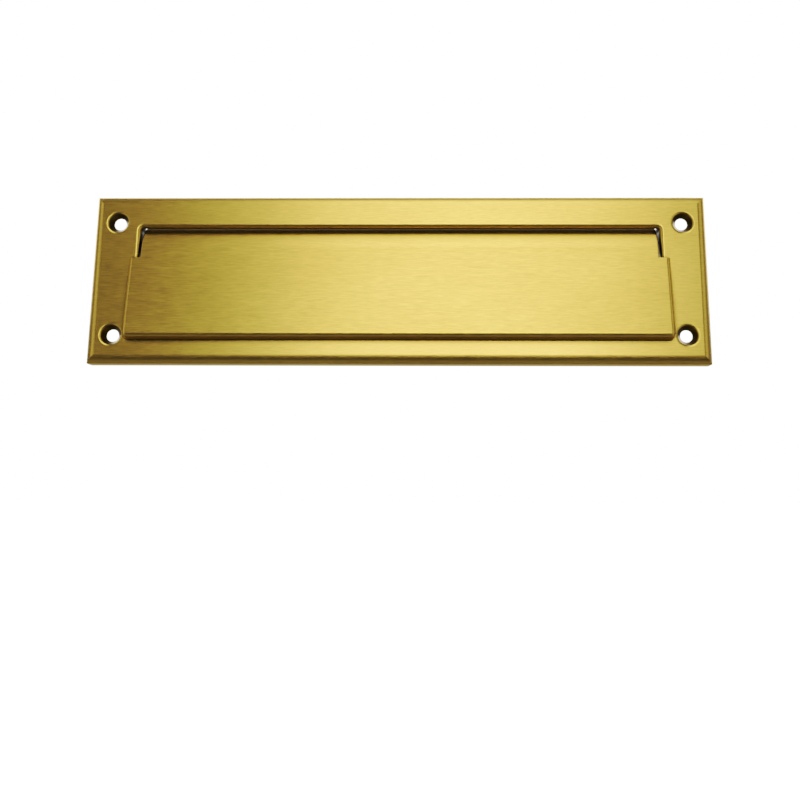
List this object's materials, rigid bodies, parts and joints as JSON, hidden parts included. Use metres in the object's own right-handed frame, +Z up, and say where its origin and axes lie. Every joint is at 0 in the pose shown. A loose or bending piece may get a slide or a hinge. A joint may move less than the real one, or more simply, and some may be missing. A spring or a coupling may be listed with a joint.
{
  "type": "letter plate",
  "caption": "Rectangular brass letter plate with a sprung, outward-opening flap on a rod behind the slot and four countersunk fixing holes.",
  "frame": {"origin": "centre of the four fixing holes, in the plane of the rim's back edge, which meets the door", "axes": "+X along the width, +Z up, -Y out towards the street, +Y through the door"},
  "size_m": [0.3302, 0.0158, 0.0922],
  "materials": {
    "satin_brass": "satin, brushed along the width at the front",
    "plated_steel": "bright zinc plate",
    "black_steel": "black oxide"
  },
  "bodies": {
    "plate": {"face_plate": "satin_brass", "hinge_rod": "plated_steel", "retaining_clip": "black_steel", "torsion_spring": "black_steel"},
    "flap": {"flap": "satin_brass", "torsion_spring_flap_leg": "black_steel"}
  },
  "joints": [
    {"name": "flap_hinge", "type": "hinge", "parent": "plate", "child": "flap", "pos_m": [0, -0.0024, 0.0217], "axis": [-1, 0, 0], "range_deg": [0, 90], "stiffness_Nm_per_rad": 0.06, "springref_deg": -34.38}
  ]
}
